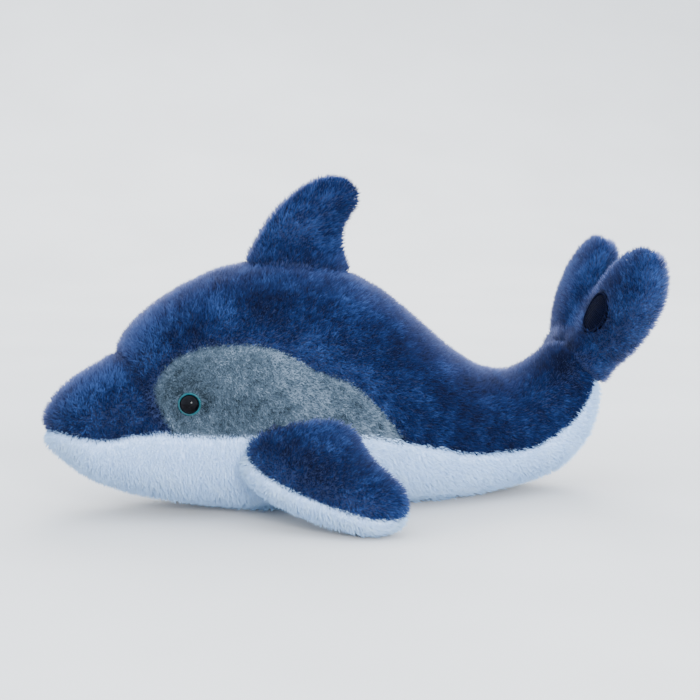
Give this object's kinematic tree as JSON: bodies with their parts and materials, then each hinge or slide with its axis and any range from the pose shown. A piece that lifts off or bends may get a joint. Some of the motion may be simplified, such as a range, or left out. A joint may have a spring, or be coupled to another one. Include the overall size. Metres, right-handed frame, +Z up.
{
  "type": "plush dolphin",
  "caption": "Soft pile plush dolphin lying on its belly, with a dorsal fin, side flippers, a raised tail with flukes, a pale underside and round safety eyes.",
  "frame": {"origin": "on the floor, under the middle of the flat of the belly", "axes": "the snout points along -X, the dolphin's left side is at -Y and +Z is up"},
  "size_m": [0.404, 0.2484, 0.2108],
  "materials": {
    "blue_pile": "deep blue long soft pile",
    "white_pile": "cool white long soft pile",
    "grey_pile": "blue grey long soft pile",
    "fibre_fill": "loose white fibre filling",
    "iris_plastic": "glossy teal",
    "pupil_plastic": "polished black",
    "washer_plastic": "matt natural plastic",
    "label_thread": "dark navy satin stitch"
  },
  "bodies": {
    "root": {"snout_panel": "blue_pile", "back_panel_left": "blue_pile", "back_panel_right": "blue_pile", "cheek_panel_left": "grey_pile", "cheek_panel_right": "grey_pile", "belly_panel": "white_pile", "body_stuffing": "fibre_fill", "dorsal_fin_left": "blue_pile", "dorsal_fin_right": "blue_pile", "dorsal_fin_stuffing": "fibre_fill", "flipper_left_top": "blue_pile", "flipper_left_under": "white_pile", "flipper_left_stuffing": "fibre_fill", "flipper_right_top": "blue_pile", "flipper_right_under": "white_pile", "flipper_right_stuffing": "fibre_fill", "fluke_front_panel": "blue_pile", "fluke_rear_panel": "blue_pile", "fluke_stuffing": "fibre_fill", "eye_iris_left": "iris_plastic", "eye_iris_right": "iris_plastic", "eye_pupil_left": "pupil_plastic", "eye_pupil_right": "pupil_plastic", "eye_washer_left": "washer_plastic", "eye_washer_right": "washer_plastic", "label_patch": "label_thread"}
  },
  "joints": []
}
